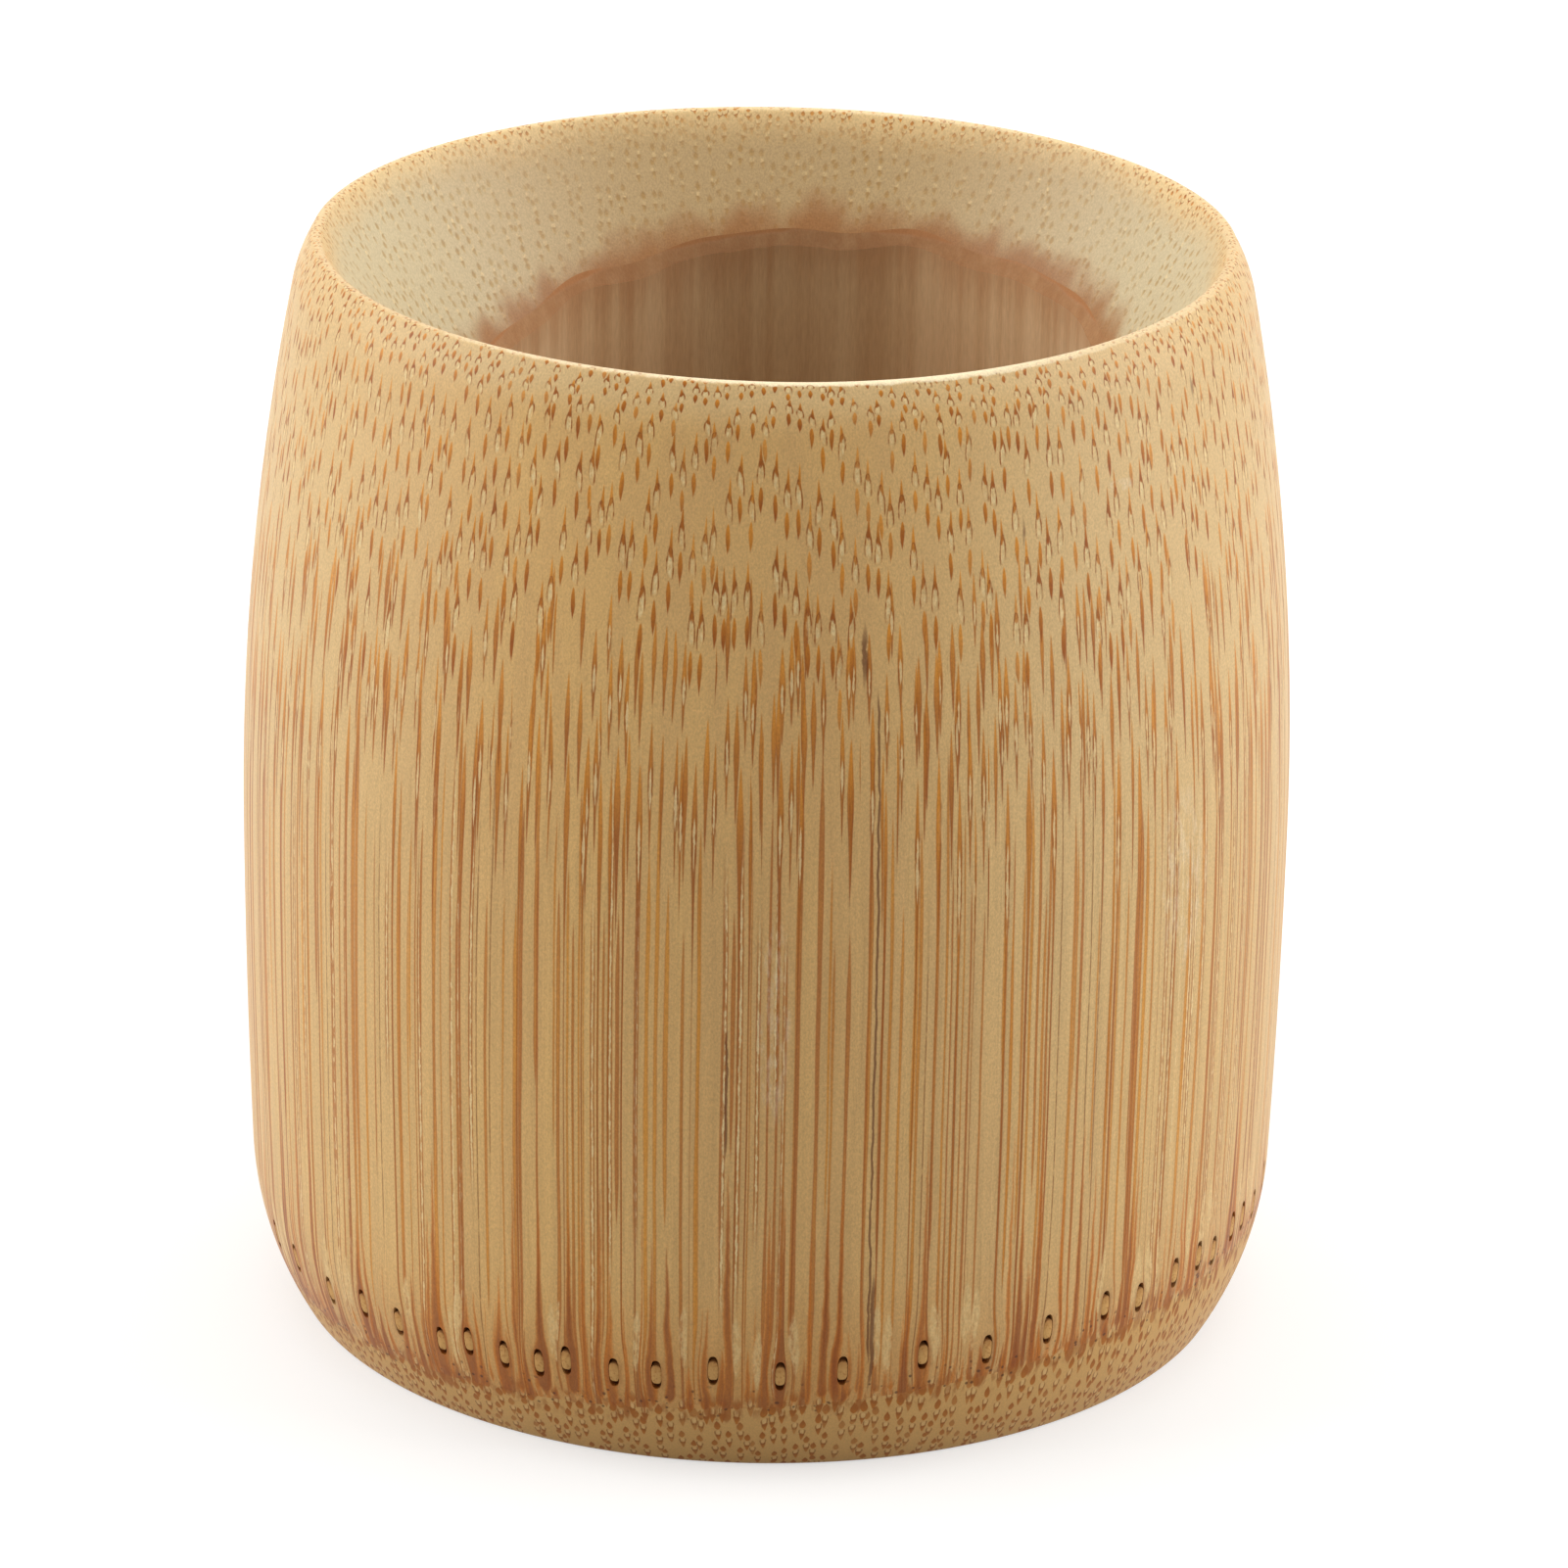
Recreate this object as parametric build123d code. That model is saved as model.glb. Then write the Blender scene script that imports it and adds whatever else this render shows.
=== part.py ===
from build123d import *
import math
import os

# A drinking cup turned from one length of thick-walled bamboo culm.
# Its floor is the culm's own node: the septum that grew across the stem.
# Millimetres and degrees, +Z up, origin on the table under the middle of the foot.
# The front of the cup faces -Y, and bearings are counted from the front towards +X.

# Turned outside, from the foot up
cup_height = 80.4  # to the crest of the lip before it is rounded
belly_radius = 38.0  # the widest turn
belly_height = 37.0  # of the widest turn above the table
heel_inset = 0.45  # where the side begins to turn in towards the foot
heel_height = 11.2
foot_inset = 3.8
neck_inset = 3.8  # where the side ends and the lip begins
lip_height = 4.1
lip_turn_in = 1.8  # how far the lip leans in past the neck
lip_round = 0.5

# Turned mouth: a funnel from the lip down to the natural hollow
mouth_angle = 31.8  # between the funnel's wall and the axis

# Natural hollow of the culm, which isn't on the turning axis
culm_wall_thickness = 14.2
hollow_offset_x = 1.2
hollow_offset_y = 3.4
hollow_ripple = 0.22  # how far the grooves of the hollow stray from round
hollow_points = 72  # places round the hollow where the ripple is worked out
lining_thickness = 0.7  # the brown pith skin
lining_cove = 5.0  # the round between the skin and the floor

# Node: the septum, and the slanting seam between this culm joint and the next
septum_underside = 2.5  # depth of the recess under the foot
septum_thickness = 6.5  # at the middle
septum_dish = 0.8  # how far its upper face climbs towards the wall
septum_key = 1.5  # how far its edge is grown into the wall
ledge_width = 2.0  # of the foot under the septum's edge, inside the hollow's radius
seam_height = 5.6  # on the axis
seam_tilt = 4.2  # the seam climbs towards +X

# Root traces: plugs of root tissue that shrank away from their pits, above the seam
trace_count = 60
trace_rise = 2.85  # from the seam to the middle of a pit, on the axis
trace_rise_spread = 0.35
trace_tilt = 2.9  # the ring climbs towards +X a little less than the seam
trace_swing = 4.85  # how far the ring's spacing opens and closes, in degrees
trace_swings = 4  # in one turn
trace_swing_start = 284
trace_spread = 0.5  # how far a plug strays from that spacing, in degrees
pit_width = 0.7
pit_length = 2.5
pit_depth = 2.0
plug_length = 1.5
plug_clearance = 0.02  # between a plug and each side of its pit

overlap = 1.0  # how far a cutter runs past what it cuts

# Sizes that follow from those above
hollow_radius = belly_radius - culm_wall_thickness
septum_radius = hollow_radius + septum_key
septum_top = septum_underside + septum_thickness
foot_radius = belly_radius - foot_inset
heel_radius = belly_radius - heel_inset
neck_radius = belly_radius - neck_inset
lip_radius = neck_radius - lip_turn_in
neck_height = cup_height - lip_height
mouth_slope = math.tan(math.radians(mouth_angle))
seam_slope = math.tan(math.radians(seam_tilt))
trace_slope = math.tan(math.radians(trace_tilt))
golden_angle = 137.508  # a turn that never repeats, for uneven spacing


def turned_blank():
    # The barrel with its funnel mouth, solid below, as it would leave a lathe
    foot = (foot_radius, 0)
    heel = (heel_radius, heel_height)
    belly = (belly_radius, belly_height)
    neck = (neck_radius, neck_height)
    lip = (lip_radius, cup_height)
    funnel_point = (0, cup_height - lip_radius / mouth_slope)

    lower_side = TangentArc(belly, heel, tangent=(0, -1))
    heel_turn = TangentArc(heel, foot, tangent=lower_side % 1)
    upper_side = TangentArc(belly, neck, tangent=(0, 1))
    lip_turn = TangentArc(neck, lip, tangent=upper_side % 1)
    inside = Polyline(lip, funnel_point, (0, 0), foot)
    half = make_face([heel_turn, lower_side, upper_side, lip_turn, inside])
    crest = half.vertices().sort_by(Axis.Y)[-1]
    half = fillet(crest, lip_round)
    return revolve(Plane.XZ * half, axis=Axis.Z)


def hollow_core(inset, bottom):
    # A rod of the hollow's own rippled section, shrunk by inset, from bottom to above the lip
    outline = []
    for step in range(hollow_points):
        turn = 2 * math.pi * step / hollow_points
        ripple = 0.6 * math.sin(11 * turn + 1.3) + 0.4 * math.sin(17 * turn + 0.4)
        radius = hollow_radius + hollow_ripple * ripple - inset
        outline.append((radius * math.cos(turn), radius * math.sin(turn)))
    section = make_face(Spline(outline, periodic=True))
    rod = extrude(section, cup_height + overlap - bottom)
    return Pos(hollow_offset_x, hollow_offset_y, bottom) * rod


def skin_core():
    # The space inside the pith skin: the rippled rod, its foot rounded like a bowl's
    bowl_radius = hollow_radius + hollow_ripple - lining_thickness
    bowl = extrude(Circle(bowl_radius), cup_height + overlap - septum_top)
    foot_edge = bowl.edges().sort_by(Axis.Z)[0]
    bowl = fillet(foot_edge, lining_cove)
    rod = hollow_core(lining_thickness, septum_top)
    return rod & Pos(hollow_offset_x, hollow_offset_y, septum_top) * bowl


def septum_disc():
    # Flat below, dished above, and wider than the hollow so that the wall holds its edge
    middle = (0, septum_top)
    edge = (septum_radius, septum_top + septum_dish)
    upper_face = TangentArc(middle, edge, tangent=(1, 0))
    rest = Polyline(edge, (septum_radius, septum_underside), (0, septum_underside), middle)
    half = Plane.XZ * make_face([upper_face, rest])
    return Pos(hollow_offset_x, hollow_offset_y) * revolve(half, axis=Axis.Z)


def seam_plane():
    along = (1, 0, seam_slope)
    upward = (-seam_slope, 0, 1)
    return Plane((0, 0, seam_height), x_dir=along, z_dir=upward)


def trace_seats(blank):
    # One plane for each root trace, on the blank's side and facing out of it
    seats = []
    for number in range(trace_count):
        even = 360 * number / trace_count
        swing = math.sin(math.radians(trace_swings * even + trace_swing_start))
        stray = math.sin(math.radians(golden_angle * number))
        drift = math.cos(math.radians(golden_angle * number * 1.7))
        bearing = math.radians(even + trace_swing * swing + trace_spread * stray)
        outward = Vector(math.sin(bearing), -math.cos(bearing), 0)
        climb = heel_radius * outward.X * trace_slope
        height = seam_height + trace_rise + climb + trace_rise_spread * drift
        hits = blank.find_intersection_points(Axis((0, 0, height), outward))
        point, normal = max(hits, key=lambda hit: hit[0].dot(outward))
        across = outward.cross(Vector(0, 0, 1))
        seats.append(Plane(point, x_dir=across, z_dir=normal))
    return seats


def trace_rod(seat, width, length):
    # An oval rod from a pit's floor to just outside the wall
    oval = Ellipse(width / 2, length / 2)
    return seat * Pos(0, 0, -pit_depth) * extrude(oval, pit_depth + overlap)


blank = turned_blank()
septum = septum_disc()
hollow = hollow_core(0, septum_underside)
recess_section = Pos(hollow_offset_x, hollow_offset_y) * Circle(hollow_radius - ledge_width)
recess = extrude(recess_section, septum_underside, both=True)

upper = split(blank, seam_plane(), keep=Keep.TOP)
lower = split(blank, seam_plane(), keep=Keep.BOTTOM)

seats = trace_seats(blank)
pits = [trace_rod(seat, pit_width, pit_length) for seat in seats]
plugs = [trace_rod(seat, pit_width - 2 * plug_clearance, plug_length) & blank for seat in seats]

pieces = {
    "culm_wall": upper - [hollow, septum, *pits],
    "foot_ring": lower - [septum, recess],
    "node_septum": septum,
    "pith_lining": ((hollow - skin_core()) & blank) - septum,
    "root_traces": Compound(children=[solid for plug in plugs for solid in plug.solids()]),
}

os.makedirs("parts", exist_ok=True)
for name, piece in pieces.items():
    export_step(piece, f"parts/{name}.step")
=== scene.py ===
import math

import bmesh
import bpy
from mathutils import Matrix, Vector


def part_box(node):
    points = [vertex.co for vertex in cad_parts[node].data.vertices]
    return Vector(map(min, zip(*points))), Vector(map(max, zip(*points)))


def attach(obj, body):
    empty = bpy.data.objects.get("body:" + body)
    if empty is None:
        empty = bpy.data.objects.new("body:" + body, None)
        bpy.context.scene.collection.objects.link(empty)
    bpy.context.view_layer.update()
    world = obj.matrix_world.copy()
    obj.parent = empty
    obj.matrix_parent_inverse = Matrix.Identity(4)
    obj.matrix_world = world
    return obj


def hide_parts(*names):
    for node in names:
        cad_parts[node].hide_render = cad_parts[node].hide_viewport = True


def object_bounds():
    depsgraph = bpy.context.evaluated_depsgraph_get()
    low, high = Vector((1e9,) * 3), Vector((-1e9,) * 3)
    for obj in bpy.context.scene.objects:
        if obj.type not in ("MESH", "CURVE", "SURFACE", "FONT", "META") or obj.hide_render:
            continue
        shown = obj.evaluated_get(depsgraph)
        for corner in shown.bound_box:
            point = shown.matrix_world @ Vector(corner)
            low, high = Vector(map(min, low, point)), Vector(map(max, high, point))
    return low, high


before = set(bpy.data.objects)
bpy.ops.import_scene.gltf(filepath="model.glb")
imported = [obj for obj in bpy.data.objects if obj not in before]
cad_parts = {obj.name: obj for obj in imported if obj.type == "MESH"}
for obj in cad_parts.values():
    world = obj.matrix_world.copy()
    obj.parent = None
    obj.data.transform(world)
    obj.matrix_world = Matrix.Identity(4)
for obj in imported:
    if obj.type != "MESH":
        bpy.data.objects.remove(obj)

scene = bpy.context.scene
cadLow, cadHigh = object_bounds()
wallLow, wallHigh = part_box("culm_wall")
mm = 0.001
imageSide = 1601  # pixels each way in the photograph
seed = 7
fullTurn = 2 * math.pi

# The turned outline, in mm. Insets are from the belly, which comes from the frame.
bellyRadius = (wallHigh.x - wallLow.x) / 2 / mm
turning = {
    "bellyHeight": 37.0,
    "heelInset": 0.45, "heelHeight": 11.2, "footInset": 3.8, "footRound": 0.35,
    "neckInset": 3.8, "neckHeight": 76.3, "lipTurnIn": 1.8, "crestHeight": 80.4, "lipRound": 0.54,
    "lipLean": 0.42, "leanBearing": 12.0,
    "mouthSlope": math.tan(math.radians(31.8)),
    "segments": 512, "weld": 0.002,
}
hollow = {  # the natural hollow, which isn't on the turning axis
    "radius": bellyRadius - 14.2, "offsetX": 1.2, "offsetY": 3.4, "ripple": 0.22,
    "skin": 0.7, "cove": 5.0, "groove": 0.16,
}
septum = {"underside": 2.5, "thickness": 6.5, "dish": 0.8, "key": 1.5, "ledge": 2.0, "unevenness": 0.5}
seam = {"height": 5.6, "slope": math.tan(math.radians(4.2))}  # between the two culm joints

footRadius = bellyRadius - turning["footInset"]
heelRadius = bellyRadius - turning["heelInset"]
neckRadius = bellyRadius - turning["neckInset"]
lipRadius = neckRadius - turning["lipTurnIn"]
septumRadius = hollow["radius"] + septum["key"]
septumTop = septum["underside"] + septum["thickness"]
septumEdge = septumTop + septum["dish"]


# Node trees: outputs are wrapped, so that sums of them read as sums

class Value:  # one output of a node
    def __init__(self, socket):
        self.socket = socket
        self.tree = socket.id_data
        self.isVector = socket.type == "VECTOR"

    def __add__(self, other):
        return calc("ADD", self, other)

    def __sub__(self, other):
        return calc("SUBTRACT", self, other)

    def __rsub__(self, other):
        return calc("SUBTRACT", other, self)

    def __mul__(self, other):
        return calc("MULTIPLY", self, other)

    def __truediv__(self, other):
        return calc("DIVIDE", self, other)

    def __rtruediv__(self, other):
        return calc("DIVIDE", other, self)

    def __pow__(self, other):
        return calc("POWER", self, other)

    def __lt__(self, other):
        return calc("LESS_THAN", self, other)

    def __gt__(self, other):
        return calc("GREATER_THAN", self, other)

    def __abs__(self):
        return calc("ABSOLUTE", self)


class Ports:  # a node: reading takes one of its outputs, writing feeds one of its inputs
    def __init__(self, node):
        self.node = node

    def __getitem__(self, key):
        return Value(self.node.outputs[key])

    def __setitem__(self, key, value):
        socket = self.node.inputs[key]
        if isinstance(value, Value):
            value.tree.links.new(value.socket, socket)
        else:
            socket.default_value = value


def addNode(tree, kind, inputs=None, **settings):
    node = tree.nodes.new(kind)
    for name, value in settings.items():
        setattr(node, name, value)
    ports = Ports(node)
    for key, value in (inputs or {}).items():
        ports[key] = value
    return ports


def treeOf(*terms):
    return next(term.tree for term in terms if isinstance(term, Value))


def calc(operation, *terms):  # one maths node, for numbers or for vectors
    tree, sockets = treeOf(*terms), dict(enumerate(terms))
    vectors = [isinstance(term, tuple) or getattr(term, "isVector", False) for term in terms]
    if not any(vectors):
        return addNode(tree, "ShaderNodeMath", sockets, operation=operation)[0]
    if operation == "MULTIPLY" and not all(vectors):  # a vector by a number
        operation, sockets = "SCALE", {0: terms[0], "Scale": terms[1]}
    node = addNode(tree, "ShaderNodeVectorMath", sockets, operation=operation)
    return node["Value" if operation in ("LENGTH", "DOT_PRODUCT") else "Vector"]


def limited(value):  # keeps a sum between 0 and 1
    value.socket.node.use_clamp = True
    return value


def vectorOf(x=0.0, y=0.0, z=0.0):
    return addNode(treeOf(x, y, z), "ShaderNodeCombineXYZ", {"X": x, "Y": y, "Z": z})[0]


def axesOf(place):
    return addNode(place.tree, "ShaderNodeSeparateXYZ", {0: place})


def flat(place):
    return place * (1, 1, 0)


def newGroup(name, kind, inputs, outputs):  # inputs: a default, or else the kind of socket
    tree = bpy.data.node_groups.new(name, kind)
    kinds = {float: "NodeSocketFloat", int: "NodeSocketInt", tuple: "NodeSocketVector"}
    outputKinds = {"Place": kinds[tuple], "Beside": kinds[tuple], "Geometry": "NodeSocketGeometry"}
    for label, value in inputs.items():
        socketType = value if isinstance(value, str) else kinds[type(value)]
        socket = tree.interface.new_socket(label, in_out="INPUT", socket_type=socketType)
        if value != socketType:
            socket.default_value = value
    for label in outputs:
        socketType = outputKinds.get(label, "NodeSocketFloat")
        tree.interface.new_socket(label, in_out="OUTPUT", socket_type=socketType)
    return tree, addNode(tree, "NodeGroupInput"), addNode(tree, "NodeGroupOutput")


def ramp(value, low, high, fromValue=0.0, toValue=1.0, smooth=True):
    kind = "SMOOTHSTEP" if smooth else "LINEAR"
    sockets = {"Value": value, "From Min": low, "From Max": high, "To Min": fromValue, "To Max": toValue}
    return addNode(value.tree, "ShaderNodeMapRange", sockets, interpolation_type=kind)["Result"]


def mix(factor, a, b, blend="MIX"):
    sockets = {0: factor, 6: a, 7: b}
    return addNode(treeOf(factor, a, b), "ShaderNodeMix", sockets, data_type="RGBA", blend_type=blend)[2]


def tint(red, green, blue):  # from the 0 to 255 values of a colour picker
    def linear(level):
        level /= 255
        return level / 12.92 if level <= 0.04045 else ((level + 0.055) / 1.055) ** 2.4
    return (linear(red), linear(green), linear(blue), 1.0)


# Section lines: each point is a radius and a height in mm, and how far the rules below move it

def tangentArc(start, heading, end, steps):  # points after start, and the heading at the end
    chord = end - start
    side = Vector((-heading.y, heading.x))
    turn = 2 * math.atan2(chord.dot(side), chord.dot(heading))
    reach = chord.length_squared / (2 * chord.dot(side))
    points = []
    for step in range(1, steps + 1):
        angle = turn * step / steps
        points.append(start + heading * (reach * math.sin(angle)) + side * (reach * (1 - math.cos(angle))))
    return points, heading * math.cos(turn) + side * math.sin(turn)


def spaced(count, first=0.0, last=1.0):
    return [first + (last - first) * step / (count - 1) for step in range(count)]


belly = Vector((bellyRadius, turning["bellyHeight"]))
heel = Vector((heelRadius, turning["heelHeight"]))
foot = Vector((footRadius, 0))
neck = Vector((neckRadius, turning["neckHeight"]))
crest = Vector((lipRadius, turning["crestHeight"]))

lowerSide, heelHeading = tangentArc(belly, Vector((0, -1)), heel, 8)
upperSide, neckHeading = tangentArc(belly, Vector((0, 1)), neck, 24)
lipTurn, lipHeading = tangentArc(neck, neckHeading, crest, 12)
heelSide = Vector((heelHeading.y, -heelHeading.x))  # towards the axis
heelReach = (foot - heel).length_squared / (2 * (foot - heel).dot(heelSide))
heelCentre = heel + heelSide * heelReach  # of the arc from the heel to the foot
upperReach = (neck - belly).length_squared / (2 * turning["neckInset"])  # of the arc above the belly


def heelAt(height):  # the radius of the heel's arc
    return heelCentre.x + math.sqrt(heelReach ** 2 - (height - heelCentre.y) ** 2)


def point(radius, height, **moves):
    return {"fromAxis": radius, "height": height, **moves}


def points(line):
    return [point(p.x, p.y) for p in line]


def lipPoints():
    down = Vector((-turning["mouthSlope"], -1)).normalized()
    half = math.acos(max(-1, min(1, (-lipHeading).dot(down)))) / 2
    back = turning["lipRound"] / math.tan(half)
    start = crest - lipHeading * back
    side = [p for p in lipTurn if (p - crest).length > back * 1.1]
    over, _ = tangentArc(start, lipHeading, crest + down * back, 8)
    return points([*side, start, *over])


def wallSection():
    rows = []
    for share in spaced(18):  # up the heel from the seam
        rows.append(point(heelRadius, turning["heelHeight"], seamShare=1 - share, heelShare=1))
    rows += points([*reversed(lowerSide[:-1]), belly, *upperSide]) + lipPoints()
    lastLip = rows[-1]["fromAxis"]
    for share in spaced(18)[1:]:  # down the funnel to the hollow
        radius = lastLip + (hollow["radius"] - lastLip) * share
        rows.append(point(radius, 0, hollowShare=share, rippleShare=share, coneShare=1))
    for share in spaced(10)[1:]:  # down the hollow to the septum's edge
        rows.append(point(hollow["radius"], septumEdge, hollowShare=1, rippleShare=1, coneShare=1 - share))
    rows.append(point(septumRadius, septumEdge, hollowShare=1))
    rows.append(point(septumRadius, seam["height"], hollowShare=1, seamShare=1))
    for share in spaced(6)[1:-1]:  # out along the seam
        radius = septumRadius + (heelRadius - septumRadius) * share
        rows.append(point(radius, seam["height"], hollowShare=1 - share, seamShare=1))
    return rows, True


def footSection():
    recess = hollow["radius"] - septum["ledge"]
    edge = turning["footRound"]
    rows = []
    for share in spaced(12):  # up the heel to the seam
        rows.append(point(heelRadius, edge * (1 - share), seamShare=share, heelShare=1))
    for share in spaced(6)[1:]:  # in along the seam
        radius = heelRadius + (septumRadius - heelRadius) * share
        rows.append(point(radius, seam["height"], hollowShare=share, seamShare=1))
    rows.append(point(septumRadius, septum["underside"], hollowShare=1))
    rows.append(point(recess, septum["underside"], hollowShare=1))
    for angle in spaced(5, 0, math.pi / 2):  # the recess's softened edge
        out = edge * (1 - math.cos(angle))
        rows.append(point(recess + out, edge * (1 - math.sin(angle)), hollowShare=1))
    span = footRadius - recess - 2 * edge
    for share in spaced(10)[1:-1]:  # out along the table
        rows.append(point(recess + edge + span * share, 0, hollowShare=1 - share))
    start = Vector((footRadius - edge, 0))
    over, _ = tangentArc(start, Vector((1, 0)), Vector((heelAt(edge), edge)), 5)
    return rows + points([start, *over[:-1]]), True  # ends with the foot's softened edge


def dishAt(radius):  # the height of the septum's upper face
    return septumTop + septum["dish"] * (radius / septumRadius) ** 2


def septumSection():
    rows = []
    for share in spaced(28):
        radius = septumRadius * share
        rows.append(point(radius, dishAt(radius), hollowShare=1, bumpShare=1 - share ** 4))
    for share in spaced(16):
        rows.append(point(septumRadius * (1 - share), septum["underside"], hollowShare=1, bumpShare=-share))
    return rows, False


def liningSection():
    outer, skin, cove = hollow["radius"], hollow["skin"], hollow["cove"]
    moves = {"hollowShare": 1, "rippleShare": 1}
    rows = []
    for share in spaced(12):  # up the back of the skin
        rows.append(point(outer, dishAt(outer), coneShare=share, **moves))
    for share in spaced(5)[1:]:  # across the cut edge
        rows.append(point(outer - skin * share, 0, coneShare=1, grooveShare=share, **moves))
    for share in spaced(26)[1:]:  # down the inside
        rows.append(point(outer - skin, septumTop + cove, coneShare=1 - share, grooveShare=1, **moves))
    for angle in spaced(12, 0, math.pi / 2)[1:]:  # round the cove
        radius = outer - skin - cove + cove * math.cos(angle)
        height = septumTop + cove * (1 - math.sin(angle))
        if height < dishAt(radius) + 0.12:
            break
        rows.append(point(radius, height, grooveShare=math.cos(angle), **moves))
    rows.append(point(radius, dishAt(radius), **moves))
    return rows, True


# Geometry Nodes: a section line is swept round the axis, then the rules move its points

sharp = {"wall": 25, "inside": 40, "lining": 28, "plug": 60}  # degrees, from which an edge isn't smoothed
sectionMoves = ["fromAxis", "height", "hollowShare", "rippleShare", "coneShare", "seamShare", "heelShare",
                "grooveShare", "bumpShare"]


def sectionMesh(name, rows, closed):
    mesh = bpy.data.meshes.new(name)
    links = [(n, n + 1) for n in range(len(rows) - 1)]
    if closed:
        links.append((len(rows) - 1, 0))
    mesh.from_pydata([(row["fromAxis"] * mm, 0, row["height"] * mm) for row in rows], links, [])
    for move in sectionMoves:
        values = mesh.attributes.new(move, "FLOAT", "POINT")
        for n, row in enumerate(rows):
            values.data[n].value = row.get(move, 0.0)
    return mesh


def lipFront(x, y):  # 1 where the lip is lowest, falling off to both sides
    turn = math.radians(turning["leanBearing"])
    ahead = x * math.sin(turn) - y * math.cos(turn)
    return limited(ahead * (0.5 / lipRadius) + 0.5) ** 8.0


def turnedTree():
    tree, given, result = newGroup("turnedPiece", "GeometryNodeTree", {
        "Geometry": "NodeSocketGeometry", "Segments": turning["segments"],
        "Hollow Offset X": hollow["offsetX"], "Hollow Offset Y": hollow["offsetY"],
        "Ripple": hollow["ripple"], "Groove": hollow["groove"], "Unevenness": septum["unevenness"],
        "Crest Height": turning["crestHeight"], "Lip Lean": turning["lipLean"],
        "Lip Radius": lipRadius, "Mouth Slope": turning["mouthSlope"],
        "Seam Height": seam["height"], "Seam Slope": seam["slope"],
        "Heel Centre Radius": heelCentre.x, "Heel Centre Height": heelCentre.y, "Heel Reach": heelReach,
        "Finish": "NodeSocketMaterial",
    }, ["Geometry"])

    def named(name):
        return addNode(tree, "GeometryNodeInputNamedAttribute", {"Name": name}, data_type="FLOAT")[0]

    def wandering(place, scale, detail, roughness=0.5):
        sockets = {"Vector": place, "Scale": scale, "Detail": detail, "Roughness": roughness}
        return addNode(tree, "ShaderNodeTexNoise", sockets)["Fac"]

    circle = addNode(tree, "GeometryNodeCurvePrimitiveCircle", {
        "Resolution": given["Segments"], "Radius": 1.0,
    })
    along = addNode(tree, "GeometryNodeSplineParameter")["Factor"]
    turn = addNode(tree, "GeometryNodeStoreNamedAttribute", {
        "Geometry": circle["Curve"], "Name": "turn", "Value": along * fullTurn,
    }, data_type="FLOAT", domain="POINT")
    line = addNode(tree, "GeometryNodeMeshToCurve", {"Mesh": given["Geometry"]})
    sweep = addNode(tree, "GeometryNodeCurveToMesh", {
        "Curve": turn["Geometry"], "Profile Curve": line["Curve"],
    })

    angle = named("turn")
    east, north = calc("COSINE", angle), calc("SINE", angle)
    ripple = calc("SINE", angle * 11.0 + 1.3) * 0.6 + calc("SINE", angle * 17.0 + 0.4) * 0.4
    furrow = wandering(vectorOf(east * 14.0, north * 14.0, seed), 1.0, 3.0, 0.6)
    radius = named("fromAxis") + ripple * given["Ripple"] * named("rippleShare")
    radius = radius + (furrow - 0.5) * given["Groove"] * named("grooveShare")

    # the seam leans, and the heel's arc gives the radius at the height that follows
    lean = east * heelRadius * given["Seam Slope"] + given["Seam Height"] - named("height")
    height = lean * named("seamShare") + named("height")
    arc = calc("SQRT", given["Heel Reach"] ** 2.0 - (height - given["Heel Centre Height"]) ** 2.0)
    radius = (arc + given["Heel Centre Radius"] - radius) * named("heelShare") + radius

    x = given["Hollow Offset X"] * named("hollowShare") + radius * east
    y = given["Hollow Offset Y"] * named("hollowShare") + radius * north
    reach = calc("SQRT", x ** 2.0 + y ** 2.0)
    cone = given["Crest Height"] - (given["Lip Radius"] - reach) / given["Mouth Slope"]
    height = (cone - height) * named("coneShare") + height
    swell = wandering(vectorOf(x, y, seed), 0.16, 2.0)
    height = (swell - 0.35) * given["Unevenness"] * named("bumpShare") + height
    lower = (height / given["Crest Height"]) ** 6.0 * given["Lip Lean"]
    height = height - lipFront(x, y) * lower

    moved = addNode(tree, "GeometryNodeSetPosition", {
        "Geometry": sweep["Mesh"], "Position": vectorOf(x, y, height) * mm,
    })
    joined = addNode(tree, "GeometryNodeMergeByDistance", {
        "Geometry": moved["Geometry"], "Distance": turning["weld"] * mm,
    })
    smooth = addNode(tree, "GeometryNodeSetShadeSmooth", {"Geometry": joined["Geometry"]})
    result["Geometry"] = dressed(smooth["Geometry"], given["Finish"])
    return tree


def dressed(shape, finish):  # the end of each tree
    whole = addNode(shape.tree, "GeometryNodeRealizeInstances", {"Geometry": shape})
    sockets = {"Geometry": whole["Geometry"], "Material": finish}
    return addNode(shape.tree, "GeometryNodeSetMaterial", sockets)["Geometry"]


def setInput(modifier, label, value):
    for item in modifier.node_group.interface.items_tree:
        if item.item_type == "SOCKET" and item.in_out == "INPUT" and item.name == label:
            modifier[item.identifier] = value


def linked(name, data):
    piece = bpy.data.objects.new(name, data)
    scene.collection.objects.link(piece)
    return piece


def made(piece, name):  # the evaluated shape as a plain mesh in a new object
    evaluated = piece.evaluated_get(bpy.context.evaluated_depsgraph_get())
    mesh = bpy.data.meshes.new_from_object(evaluated)
    mesh.name = name
    bpy.data.objects.remove(piece)
    return linked(name, mesh)


def madeByNodes(name, mesh, tree, **inputs):
    blank = linked(mesh.name, mesh)
    modifier = blank.modifiers.new(tree.name, "NODES")
    modifier.node_group = tree
    for label, value in inputs.items():
        setInput(modifier, label, value)
    return made(blank, name)


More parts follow.
